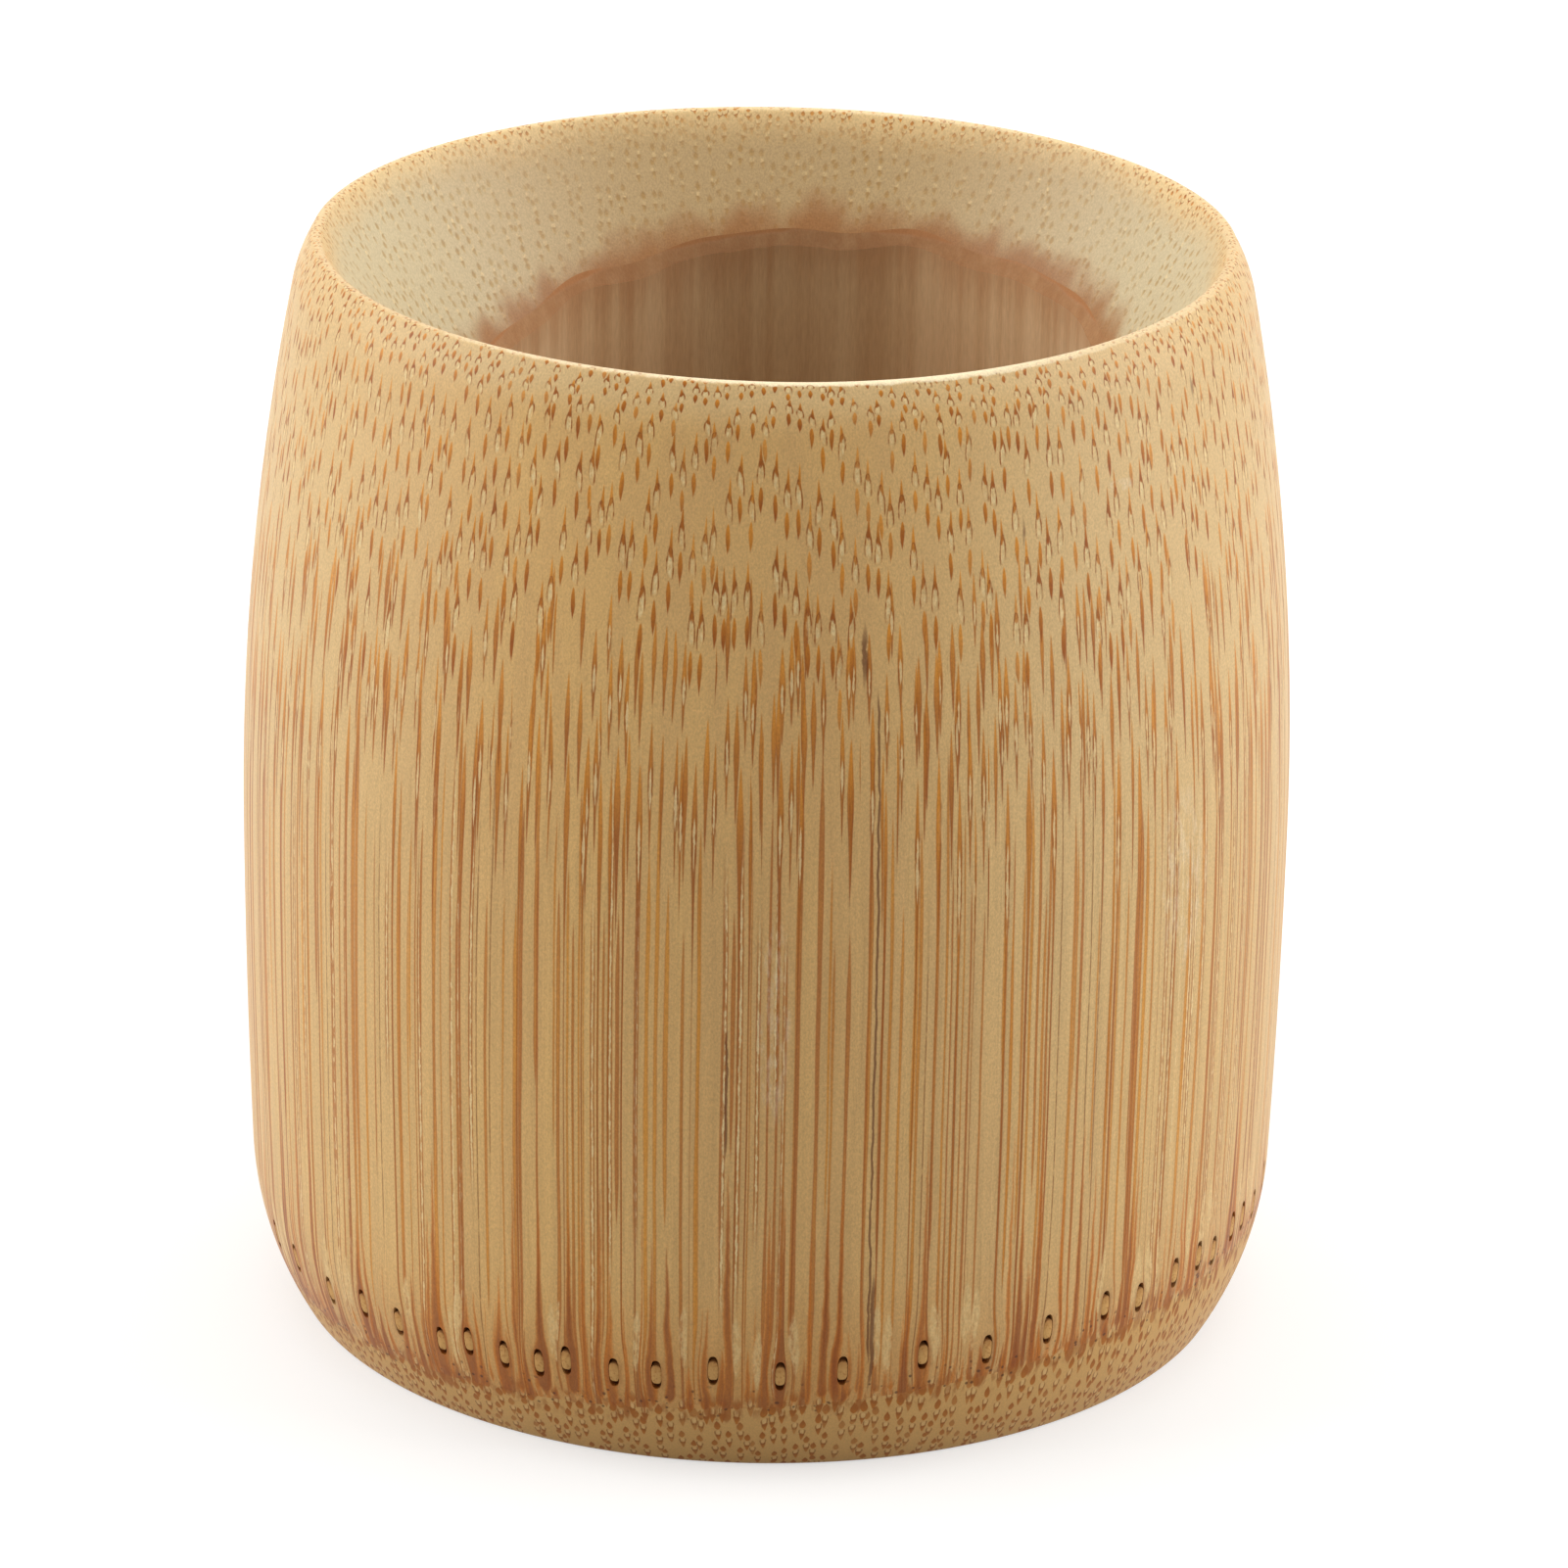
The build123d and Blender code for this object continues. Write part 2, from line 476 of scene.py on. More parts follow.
def tidyMesh(piece, sharpAngle):
    shape = bmesh.new()
    shape.from_mesh(piece.data)
    bmesh.ops.recalc_face_normals(shape, faces=shape.faces)
    shape.to_mesh(piece.data)
    shape.free()
    for name in [*sectionMoves, "turn"]:
        attribute = piece.data.attributes.get(name)
        if attribute:
            piece.data.attributes.remove(attribute)
    piece.data.set_sharp_from_angle(angle=math.radians(sharpAngle))


def turnPiece(name, section, material, sharpAngle):
    piece = madeByNodes(name, sectionMesh(name + "Section", *section), turned, Finish=material)
    tidyMesh(piece, sharpAngle)
    print("turned", name, len(piece.data.polygons), "faces")
    return piece


# Shader groups that the bamboo finishes share

def placeInMm(tree):
    return addNode(tree, "ShaderNodeTexCoord")["Object"] * (1 / mm)


def curve(value, points):  # straight lines between the points
    ports = addNode(value.tree, "ShaderNodeFloatCurve", {"Value": value})
    mapping = ports.node.mapping
    line = mapping.curves[0]
    for spot, level in points[1:-1]:
        line.points.new(spot, level)
    for n, (spot, level) in enumerate(points):
        line.points[n].location = (spot, level)
        line.points[n].handle_type = "VECTOR"
    mapping.update()
    return ports[0]


def noisy(place, stretch, detail=2.0, roughness=0.5):
    sockets = {"Vector": place * stretch, "Scale": 1.0, "Detail": detail, "Roughness": roughness}
    return addNode(place.tree, "ShaderNodeTexNoise", sockets)


def noise(place, stretch, detail=2.0, roughness=0.5):
    return noisy(place, stretch, detail, roughness)["Fac"]


def strayed(place, stretch, detail=2.0, roughness=0.5):  # each way, round zero
    return noisy(place, stretch, detail, roughness)["Color"] - (0.5, 0.5, 0.5)


def labelled(values):
    return {label.replace("_", " "): value for label, value in values.items()}


def shaderGroup(outputs, **inputs):  # a new group, named after the function below that fills it
    def filled(fill):
        sockets = {"Place": (0, 0, 0), **labelled(inputs)}
        tree, given, result = newGroup(fill.__name__, "ShaderNodeTree", sockets, outputs.split())
        fill(given["Place"], given, result)
        return tree
    return filled


def chancesOf(cell):  # three random numbers for each cell
    colour = cell["Color"]
    return addNode(colour.tree, "ShaderNodeSeparateColor", {"Color": colour})


def flatCells(place, scale, scatter):
    sockets = {"Vector": place, "Scale": scale, "Randomness": scatter}
    return addNode(place.tree, "ShaderNodeTexVoronoi", sockets, voronoi_dimensions="2D", feature="F1")


def sideways(away, outward):  # how far to the left or right, seen from outside
    return calc("DOT_PRODUCT", away, calc("CROSS_PRODUCT", (0, 0, 1), outward))


def columns(place, ring, spacing, scatter):  # round the cup: their chances, and how far to the side
    outward = calc("NORMALIZE", flat(place))
    spot = outward * ring
    stretch = bellyRadius / ring
    cell = flatCells(spot, stretch / spacing, scatter)
    return chancesOf(cell), sideways(spot - cell["Position"], outward) * stretch


def bearingOf(place):  # from the front, towards +X
    axes = axesOf(place)
    return calc("ARCTAN2", axes["X"], axes["Y"] * -1.0)


def besideBearing(place, bearing):  # in mm along the belly
    return (bearingOf(place) - calc("RADIANS", bearing)) * bellyRadius


def aboveBelly(height):
    return calc("MAXIMUM", height - turning["bellyHeight"], 0.0)


def heelArc(height):  # how far the heel's arc stands out from its centre
    return calc("SQRT", heelReach ** 2 - (height - heelCentre.y) ** 2.0)


@shaderGroup("Fibre Tone Vessel Sheath Chance Luck Home", Spacing=0.8, Scatter=0.54, Reach=0.62, Twist=0.5,
             Waver=0.12, Cap_Width=0.38, Vessel_Width=0.48, Sheath=0.08, Softness=0.045)
def fibreBundles(place, given, result):  # the bundles' cut ends, the same all along the culm
    cell = flatCells(place, 1.0 / given["Spacing"], given["Scatter"])
    chance = chancesOf(cell)
    centre = flat(cell["Position"])
    waver = flat(strayed(place, (1.5, 1.5, 0.06), 2.0, 0.6)) * given["Waver"]
    away = addNode(place.tree, "ShaderNodeVectorRotate", {
        "Vector": flat(place) + waver - centre, "Angle": (chance["Red"] - 0.5) * given["Twist"],
    }, rotation_type="Z_AXIS")[0]
    outward = calc("NORMALIZE", centre)
    across = abs(sideways(away, outward))
    depth = calc("DOT_PRODUCT", away, outward) / given["Reach"] + 0.5
    margin = 0.12  # keeps the marks shut beyond their ends

    def halfWidth(points, width):
        return curve(depth, points) * (width * 0.5 + margin) - margin

    cap = halfWidth([
        (0, 0.38), (0.06, 0.52), (0.2, 0.72), (0.29, 0.86), (0.33, 0.8), (0.38, 0),
        (0.58, 0), (0.63, 0.58), (0.7, 0.82), (0.78, 0.92), (0.87, 0.8), (0.94, 0.58), (1, 0.36),
    ], given["Cap Width"])
    vessel = halfWidth([
        (0, 0), (0.2, 0), (0.26, 0.6), (0.34, 0.84), (0.42, 0.97), (0.48, 1), (0.55, 0.92),
        (0.61, 0), (1, 0),
    ], given["Vessel Width"])
    tone = [(0, 0), (0.14, 0.25), (0.3, 0.75), (0.5, 0.3), (0.6, 0.1), (0.74, 0.4), (0.9, 0.75), (1, 0.9)]
    soft, sheath = given["Softness"], given["Sheath"]
    hard = soft * -1.0
    result["Fibre"] = ramp(cap - across, hard, soft)
    result["Tone"] = curve(depth, tone)
    shut = ramp(depth, 0.3, 0.37) * ramp(depth, 0.58, 0.51)
    result["Vessel"] = ramp(vessel - sheath - across, hard, soft) * shut
    edge = ramp(abs(vessel - across), sheath, sheath * 0.3)
    result["Sheath"] = edge * ramp(vessel, -0.02, 0.04) * ramp(depth, 0.6, 0.48)
    result["Chance"] = chance["Green"]
    result["Luck"] = chance["Blue"]
    result["Home"] = calc("LENGTH", centre)


@shaderGroup("Body Slit Lines Thread Tone", Above=0.0, Ring=bellyRadius, Spacing=1.15, Width=0.3, Top=44.0,
             Top_Spread=13.0)
def skinStreaks(place, given, result):  # lines where the turned side runs along bundles just under the skin
    height = axesOf(place)["Z"]
    chance, side = columns(place, given["Ring"], given["Spacing"], 0.85)
    kind = chance["Red"]
    slitFrom, threadFrom = 0.72, 0.91  # most lines are whole, some are open slits, and the rest are threads
    across = abs(side + (noise(place, (0.5, 0.5, 0.07), 2.0, 0.6) * 0.2 - 0.1))

    # each line tapers to its own ends, and thins next to the seam
    top = chance["Blue"] * given["Top Spread"] + given["Top"]
    low = calc("FRACT", chance["Blue"] * 7.3) * 46.0 - 18.0
    ends = ramp(top - height, 0.0, 8.0) * ramp(height - low, 0.0, 6.0)
    swell = ramp(noise(place, (0.4, 0.4, 0.05)), 0.3, 0.7, 0.7, 1.25)
    half = ramp(chance["Green"], 0.0, 1.0, 0.22, 0.6, smooth=False) * given["Width"] * (ends * swell)
    half = half * ramp(given["Above"], 1.5, 9.0, 0.5, 1.0)
    body = ramp(half - across, -0.05, 0.06) * ramp(half, 0.01, 0.06)
    result["Body"] = body * (kind < slitFrom)
    edge = ramp(half - across, 0.12, 0.0, 0.0, 0.4)
    result["Tone"] = calc("FRACT", kind * 9.7) + edge

    # an open vessel along the middle, or only a dry thread
    rough = noise(place, (4.0, 4.0, 1.2), 2.0, 0.6)
    isSlit = (kind > slitFrom) * (kind < threadFrom) * ends
    result["Slit"] = ramp(ramp(rough, 0.36, 0.66, 0.0, 0.11) - across, -0.02, 0.03) * isSlit
    result["Lines"] = ramp(abs(across - 0.12), 0.1, 0.03) * isSlit
    thread = ramp(across, 0.08, 0.03) * ramp(rough, 0.3, 0.5, 0.4, 1.0)
    result["Thread"] = thread * ((kind > threadFrom) * ends)


@shaderGroup("Cap Tone Slit Lines", Ring=bellyRadius, Spacing=1.1, Width=0.5, Reach=0.56,
             Shallow=0.12, Deep=1.2)
def slantMarks(place, given, result):  # long bundle ends, where the side cuts the culm at a slight slope
    chance, side = columns(place, given["Ring"], given["Spacing"], 0.8)

    # marks follow one another up each column, and shorten as the side leans in
    depth = aboveBelly(axesOf(place)["Z"]) ** 2.0 * (0.7 / (2 * upperReach))
    start = chance["Blue"] * 8.0
    count = depth / given["Reach"] + start
    number = calc("FLOOR", count)
    along = 1.0 - (count - number)
    column = vectorOf(chance["Red"] * 60.0, chance["Green"] * 60.0, number)
    luck = addNode(place.tree, "ShaderNodeTexWhiteNoise", {"Vector": column}, noise_dimensions="3D")
    luck = chancesOf(luck)
    middle = (number + 0.5 - start) * given["Reach"]
    top = (luck["Blue"] - 0.5) * 0.3 + middle
    shown = (middle > given["Shallow"]) * (top < given["Deep"])
    shown = shown * (luck["Green"] < ramp(middle, 0.4, 1.1, 0.95, 0.65))
    across = abs(side + (luck["Red"] - 0.5) * 0.5)

    body = curve(along, [
        (0, 0), (0.1, 0.26), (0.28, 0.72), (0.42, 1), (0.52, 0.95), (0.68, 0.6), (0.85, 0.34), (1, 0),
    ])
    half = given["Width"] * 0.5 * ramp(luck["Blue"], 0.0, 1.0, 0.55, 1.0, smooth=False) * body
    result["Cap"] = ramp(half - across, -0.05, 0.06) * ramp(half, 0.01, 0.05) * shown
    tone = curve(along, [(0, 0), (0.2, 0.1), (0.42, 0.45), (0.6, 0.65), (1, 0.8)])
    result["Tone"] = tone + ramp(half - across, 0.12, 0.0, 0.0, 0.3)
    opened = shown * (calc("FRACT", luck["Green"] * 13.0) < 0.45)
    rough = noise(place, (3.0, 3.0, 0.9), 2.0, 0.6)
    gap = curve(along, [(0, 0), (0.4, 0), (0.46, 0.7), (0.54, 1), (0.62, 0.8), (0.7, 0), (1, 0)])
    gap = gap * ramp(rough, 0.34, 0.6, 0.05, 0.12)
    result["Slit"] = ramp(gap - across, -0.02, 0.03) * ramp(gap, 0.0, 0.03) * opened
    lines = ramp(abs(across - 0.14), 0.09, 0.03) * (ramp(along, 0.34, 0.46) * ramp(along, 0.78, 0.6))
    result["Lines"] = lines * (opened * ramp(rough, 0.62, 0.4))


@shaderGroup("Place", Stray=0.5, Follow=0.75, Upper_Follow=0.3)
def culmDrift(place, given, result):  # bundles stray, and follow the turned side part of the way
    height = axesOf(place)["Z"]
    shift = strayed(place, (0.11, 0.11, 0.028), 1.0) * given["Stray"]
    onHeel = calc("MINIMUM", height, turning["heelHeight"])
    lower = (heelRadius - heelCentre.x) - heelArc(onHeel)
    upper = aboveBelly(height) ** 2.0 / (2 * upperReach)
    inset = upper * given["Upper Follow"] + lower * given["Follow"]
    result["Place"] = place + shift + calc("NORMALIZE", flat(place)) * inset


rootRing = {  # oval plugs of root tissue that shrank away from their pits, above the seam
    "count": 60, "rise": 2.85, "riseSpread": 0.35, "riseTurns": 1.7, "slope": math.tan(math.radians(2.9)),
    "swing": math.radians(4.85), "swings": 4.0, "swingStart": math.radians(284.0),  # uneven spacing
    "spread": math.radians(0.5), "goldenAngle": math.radians(137.508),
    "pitWidth": 0.76, "pitLength": 2.4, "pitDepth": 2.0, "plugWidth": 0.74, "plugLength": 1.56,
    "plugTop": -0.015, "dome": 0.04, "plugPower": 3.2, "pitPower": 2.8, "sides": 32,
}


@shaderGroup("Across Up Beside", Count=float(rootRing["count"]))
def nearestRoot(place, given, result):  # how far a place is from the middle of its nearest root trace
    bearing = bearingOf(place)
    step = fullTurn / given["Count"]

    def swing(even):
        return calc("SINE", even * rootRing["swings"] + rootRing["swingStart"]) * rootRing["swing"]

    even = bearing
    for _ in range(4):  # the even spacing that the swing moved to this bearing
        even = bearing - swing(even)
    number = calc("FLOORED_MODULO", calc("ROUND", even / step), given["Count"])
    golden = rootRing["goldenAngle"]
    home = number * step
    home = home + swing(home)
    home = calc("SINE", number * golden) * rootRing["spread"] + home
    result["Across"] = calc("WRAP", bearing - home, math.pi, -math.pi) * heelRadius
    level = calc("SINE", home) * (heelRadius * rootRing["slope"]) + (seam["height"] + rootRing["rise"])
    level = calc("COSINE", number * (golden * rootRing["riseTurns"])) * rootRing["riseSpread"] + level
    result["Up"] = axesOf(place)["Z"] - level
    result["Beside"] = vectorOf(calc("COSINE", bearing), calc("SINE", bearing))


@shaderGroup("Grain Scratch Cloud", Along=0.6)
def sandedGrain(place, given, result):  # fine speckle along the fibres, and the marks of the last sanding
    result["Grain"] = noise(place, vectorOf(8.0, 8.0, given["Along"] * 8.0), 2.0, 0.6)
    lines = ramp(noise(place, (0.35, 0.35, 9.0), 2.0, 0.6), 0.58, 0.75)
    result["Scratch"] = lines * ramp(noise(place, (0.12, 0.12, 0.2), 1.0), 0.45, 0.62)
    result["Cloud"] = noise(place, (0.06, 0.06, 0.025))


@shaderGroup("Mask", Bearing=0.0, Low=10.0, High=20.0, Width=0.3)
def stainLine(place, given, result):  # one dark line along the fibres, with ragged ends
    height = axesOf(place)["Z"]
    wobble = (noise(place, (0.2, 0.2, 0.35)) - 0.5) * 0.5
    away = abs(wobble + besideBearing(place, given["Bearing"])) / given["Width"]
    ends = ramp(calc("MINIMUM", height - given["Low"], given["High"] - height), 0.0, 2.5)
    width = ends * ramp(noise(place, (1.5, 1.5, 0.8), 3.0, 0.7), 0.25, 0.5, 0.35, 1.0)
    result["Mask"] = ramp(away, width, width * 0.35) * ends


@shaderGroup("Flare Lens Chance Brown Speck", Above=0.0, Spacing=1.0, Tallest=20.0, Width=0.98)
def seamFlare(place, given, result):  # fibre ends that thicken to the seam, pale lenses, and its brown
    above = given["Above"]
    chance, side = columns(place, bellyRadius, given["Spacing"], 0.85)
    across = abs((noise(place, (0.9, 0.9, 0.5), 2.0, 0.6) - 0.5) * 0.3 + side)
    isLens = chance["Blue"] > 0.74

    tall = chance["Red"] ** 2.0 * given["Tallest"] + 2.0
    share = limited(1.0 - calc("MAXIMUM", above, 0.0) / tall)
    end = above - (chance["Blue"] * 2.6 - 1.3)
    half = share * given["Width"] * ramp(chance["Green"], 0, 1, 0.22, 0.5) * ramp(end, -0.3, 0.7)
    flare = ramp(half - across, -0.1, 0.11) * (ramp(share, 0.0, 0.1) * ramp(end, -0.3, 0.3))
    result["Flare"] = flare * (1.0 - isLens)
    result["Chance"] = chance["Green"] * 0.6 + ramp(half - across, 0.0, 0.24, -0.2, 0.5)

    middle = chance["Red"] * 2.5 + 3.6
    oval = limited(1.0 - abs((above - middle) / 2.6) ** 2.0)
    lens = ramp(oval * 0.4 - across, -0.1, 0.12)
    result["Lens"] = lens * isLens * ramp(oval, 0.0, 0.25)

    level = (noise(place, (0.55, 0.55, 0.4), 3.0, 0.6) - 0.5) * 3.2 + above
    clots = noise(place, (1.7, 1.7, 0.5), 2.0, 0.6)
    result["Brown"] = ramp(abs(level), 1.6, 0.2) * ramp(clots, 0.46, 0.6)
    cell = addNode(place.tree, "ShaderNodeTexVoronoi", {"Vector": place, "Scale": 1.9, "Randomness": 1.0})
    speck = ramp(cell["Distance"], 0.3, 0.17) * (chancesOf(cell)["Red"] > 0.6)
    result["Speck"] = speck * ramp(abs(above - 0.5), 1.9, 0.8)


@shaderGroup("Mask", Bearing=0.0, Height=40.0, Width=2.0, Tall=6.0)
def scuffPatch(place, given, result):  # a patch that was rubbed pale along the fibres
    side = besideBearing(place, given["Bearing"]) / given["Width"]
    rise = (axesOf(place)["Z"] - given["Height"]) / given["Tall"]
    near = limited(1.0 - (side ** 2.0 + rise ** 2.0))
    rubbed = ramp(noise(place, (2.2, 2.2, 0.5), 3.0, 0.7), 0.42, 0.68)
    result["Mask"] = ramp(near, 0.0, 0.6) * rubbed


# Finishes

def newMaterial(name):
    material = bpy.data.materials.new(name)
    material.use_nodes = True
    tree = material.node_tree
    tree.nodes.clear()
    shader = addNode(tree, "ShaderNodeBsdfPrincipled")
    addNode(tree, "ShaderNodeOutputMaterial", {"Surface": shader[0]})
    return material, tree, shader


def useGroup(group, place, **values):
    return addNode(place.tree, "ShaderNodeGroup", {"Place": place, **labelled(values)}, node_tree=group)


def strongest(group, place, labels, spots):  # one kind of mark at several spots
    strong = None
    for spot in spots:
        mask = useGroup(group, place, **dict(zip(labels, spot)))["Mask"]
        strong = mask if strong is None else calc("MAXIMUM", strong, mask)
    return strong


def aboveSeam(axes):
    return axes["Z"] - (axes["X"] * seam["slope"] + seam["height"])


def fromHollow(place):  # the distance from the hollow's own axis
    return calc("LENGTH", flat(place) - (hollow["offsetX"], hollow["offsetY"], 0))


def speckle(finish, grain):
    return ramp(grain["Grain"], 0.3, 0.7, *finish["speckle"], smooth=False)


def roughened(finish, grain):
    return (grain["Grain"] - 0.5) * finish["roughSpread"] + finish["roughness"]


def dress(shader, finish, colour, rough, relief):
    shader["Base Color"] = colour
    shader["Roughness"] = rough
    shader["Specular IOR Level"] = finish["specular"]
    if "coat" in finish:
        shader["Coat Weight"] = finish["coat"]
        shader["Coat Roughness"] = finish["coatRoughness"]
    bump = {"Strength": finish["bump"], "Distance": finish["bumpDepth"] * mm, "Height": relief}
    shader["Normal"] = addNode(relief.tree, "ShaderNodeBump", bump)[0]


wallFinish = {
    # the second, paler tan paints sheen on the sides and near the lip; the rim tone paints a highlight on
    # the far rim
    "tan": tint(222, 180, 116), "tanDeep": tint(213, 171, 112), "tanPale": tint(216, 184, 132),
    "tanNode": tint(204, 152, 88), "rim": tint(232, 202, 148),
    # the far pale tone paints shade on the funnel's far side
    "pale": tint(206, 190, 154), "paleFar": tint(191, 164, 121),
    "fleck": tint(154, 116, 64), "fleckGold": tint(188, 150, 86),
    "capLight": tint(216, 142, 50), "capDark": tint(156, 84, 24),
    "vessel": tint(234, 208, 154), "sheath": tint(152, 88, 32),
    "gold": tint(216, 148, 58), "redBrown": tint(174, 104, 44),
    "thread": tint(134, 80, 34), "slit": tint(238, 214, 160),
    "flareLight": tint(200, 119, 42), "flareDark": tint(147, 78, 28), "lens": tint(230, 198, 140),
    # the pit tone is painted shade for the pits' walls
    "seam": tint(160, 96, 42), "speck": tint(72, 40, 22), "pit": tint(150, 90, 50),
    "stain": tint(92, 36, 4),
    # the lip tone is pale wear with a painted highlight
    "pith": tint(164, 117, 74), "lip": tint(246, 228, 190), "worn": tint(236, 218, 186),
    "speckle": (0.86, 1.12), "roughness": 0.46, "roughSpread": 0.16, "specular": 0.2,
    "coat": 0.08, "coatRoughness": 0.3, "bump": 0.25, "bumpDepth": 0.1,
    "paleTo": 31.2, "tanFrom": 33.4, "bundlesTo": 36.75, "bundlesSpread": 0.45,  # radii
    "streaksTo": 51.5, "raggedTop": 7.0, "fringe": 2.55, "fringeFull": 0.75,
    "rootBend": 0.7, "bendHeight": 2.4, "stainShare": 0.75, "wornShare": 0.36,
    "streaks": [{"Ring": 61.0, "Spacing": 2.0, "Width": 0.25}, {}],  # an extra row, then the main one
    "slants": [{"Ring": 53.0, "Spacing": 1.3}, {}],
    "flares": [({"Spacing": 0.74, "Tallest": 8.5, "Width": 0.8}, 0.7), ({}, 0.85)],  # with their shares
    "innerBundles": {
        "Spacing": 1.1, "Scatter": 0.85, "Reach": 0.95,
        "Cap Width": 0.46, "Vessel Width": 0.5, "Softness": 0.12,
    },
    "stains": [  # bearing from the front in degrees, then low, high and width in mm
        (11.8, 8.0, 60.0, 0.13), (10.3, 58.5, 64.5, 0.34), (12.2, 6.0, 17.0, 0.22),
        (-3.7, 24.0, 36.0, 0.14), (57.0, 73.5, 77.0, 0.3), (28.9, 67.0, 70.6, 0.22),
        (158.0, 20.0, 52.0, 0.16), (-124.0, 30.0, 58.0, 0.14),
    ],
    "scuffs": [  # bearing, height, half width and half height
        (1.2, 35.5, 1.3, 8.5), (50.5, 41.0, 3.2, 7.5), (42.5, 70.5, 1.8, 0.5), (-96.0, 47.0, 2.2, 8.0),
    ],
}


def wallMaterial():
    finish = wallFinish
    material, tree, shader = newMaterial("lacqueredCulm")
    place = placeInMm(tree)
    axes = axesOf(place)
    x, y, z = axes["X"], axes["Y"], axes["Z"]
    reach = calc("LENGTH", flat(place))
    above = aboveSeam(axes)

    # fibres bend round each root trace
    root = useGroup(nearestRoot, place)
    near = calc("EXPONENT", (root["Across"] ** 2.0 + (root["Up"] / finish["bendHeight"]) ** 2.0) * -1.0)
    bent = place + root["Beside"] * (root["Across"] * near * -finish["rootBend"])

    drifted = useGroup(culmDrift, bent)["Place"]
    bundle = useGroup(fibreBundles, drifted)
    innerBundle = useGroup(fibreBundles, drifted, **finish["innerBundles"])
    grain = useGroup(sandedGrain, place)
    ragged = noise(place, (0.7, 0.7, 0.05), 2.0, 0.6)
    fade = (noise(place, (0.9, 0.9, 0.06), 3.0, 0.6) - 0.5) * 1.6  # along a mark, from light to dark
    broken = noise(place, (4.2, 4.2, 1.5), 2.0, 0.6)

    # the ground between the bundles, pale inside and tan outside
    outer = ramp(grain["Cloud"] * 2.0 + reach, finish["paleTo"], finish["tanFrom"])
    grown = noise(drifted, (0.55, 0.55, 0.02))
    shade = limited(ramp(grain["Cloud"], 0.35, 0.7, 0.0, 0.6) + ramp(grown, 0.4, 0.65, 0.0, 0.6))
    shade = limited(shade + ramp(above, 9.0, 1.0, 0.0, 0.5))
    tan = mix(shade, finish["tan"], finish["tanDeep"])
    tan = mix(ramp(above, 12.0, 1.0, 0.0, 0.8), tan, finish["tanNode"])
    # painted sheen: the tan is painted paler and less saturated towards the left and right sides, and all
    # round near the lip
    paintedLighting = ramp(abs(x + 6.0), 8.0, 30.0) * ramp(z, 20.0, 60.0, 0.45, 0.9)
    paintedLighting = calc("MAXIMUM", paintedLighting, ramp(z, 76.0, 79.0, 0.0, 0.9))
    tan = mix(paintedLighting, tan, finish["tanPale"])
    # painted highlight: the crest of the far rim is painted paler
    paintedFarRimHighlight = ramp(z, 77.4, 79.2) * ramp(y, -10.0, 20.0, 0.0, 0.8)
    tan = mix(paintedFarRimHighlight, tan, finish["rim"])
    streaked = ramp(ragged * 12.0 + z, finish["streaksTo"] + finish["raggedTop"], finish["streaksTo"])
    threads = ramp(noise(drifted, (2.6, 2.6, 0.04), 3.0, 0.6), 0.3, 0.7, 0.92, 1.07, smooth=False)
    tan = mix(streaked, tan, threads, "MULTIPLY")
    # painted shade: the funnel's far side is painted darker and yellower
    pale = mix(ramp(y, 8.0, 30.0), finish["pale"], finish["paleFar"])
    colour = mix(outer, pale, tan)

    # golden or red-brown streaks, open slits with brown sides, and a few dry threads, down to the seam
    outside = ramp(reach, 33.0, 33.6)
    landing = ramp(ragged * -3.0 + above, -1.3, 0.1) * outside
    for sizes in finish["streaks"]:
        streak = useGroup(skinStreaks, drifted, Above=above, **sizes)
        line = limited(streak["Tone"] + fade + ramp(above, 13.0, 2.0, 0.0, 0.35))
        line = mix(line, finish["gold"], finish["redBrown"])
        colour = mix(streak["Body"] * (landing * 0.88), colour, line)
        colour = mix(streak["Lines"] * (landing * 0.8), colour, finish["redBrown"])
        colour = mix(streak["Slit"] * (landing * 0.75), colour, finish["slit"])
        colour = mix(streak["Thread"] * (landing * 0.65), colour, finish["thread"])

    # bundles next to the skin, drawn out long
    for sizes in finish["slants"]:
        slant = useGroup(slantMarks, drifted, **sizes)
        cap = mix(limited(slant["Tone"] + fade), finish["capLight"], finish["capDark"])
        colour = mix(slant["Cap"] * (outside * 0.92), colour, cap)
        colour = mix(slant["Lines"] * (outside * 0.75), colour, finish["sheath"])
        colour = mix(slant["Slit"] * (outside * 0.8), colour, finish["vessel"])

    # whole bundles: two fibre caps, and a pale vessel with brown sides between them
    standing = bundle["Home"] < bundle["Luck"] * finish["bundlesSpread"] + finish["bundlesTo"]
    patchy = ramp(noise(place, (0.22, 0.22, 0.12)), 0.36, 0.62, 0.65, 1.0)
    for mark, share in ((bundle, standing * outer), (innerBundle, (1.0 - outer) * patchy)):
        tone = limited(mark["Chance"] * 0.5 + (mark["Tone"] - 0.25) + fade)
        cap = mix(tone, finish["capLight"], finish["capDark"])
        fleck = mix(mark["Tone"], finish["fleckGold"], finish["fleck"])
        strength = ramp(mark["Chance"], 0.0, 0.3, 0.8, 1.0) * ramp(outer, 0, 1, 0.7, 1.0) * share
        colour = mix(mark["Fibre"] * strength, colour, mix(outer, fleck, cap))
        filled = mark["Vessel"] * ramp(broken, 0.4, 0.58, 0.12, 0.8)
        filled = filled * ramp(mark["Luck"], 0.0, 0.6, 0.35, 1.0)
        colour = mix(filled * strength, colour, finish["vessel"])
        lined = mark["Sheath"] * ramp(broken, 0.62, 0.42, 0.4, 1.0)
        colour = mix(lined * (strength * outer), colour, finish["sheath"])

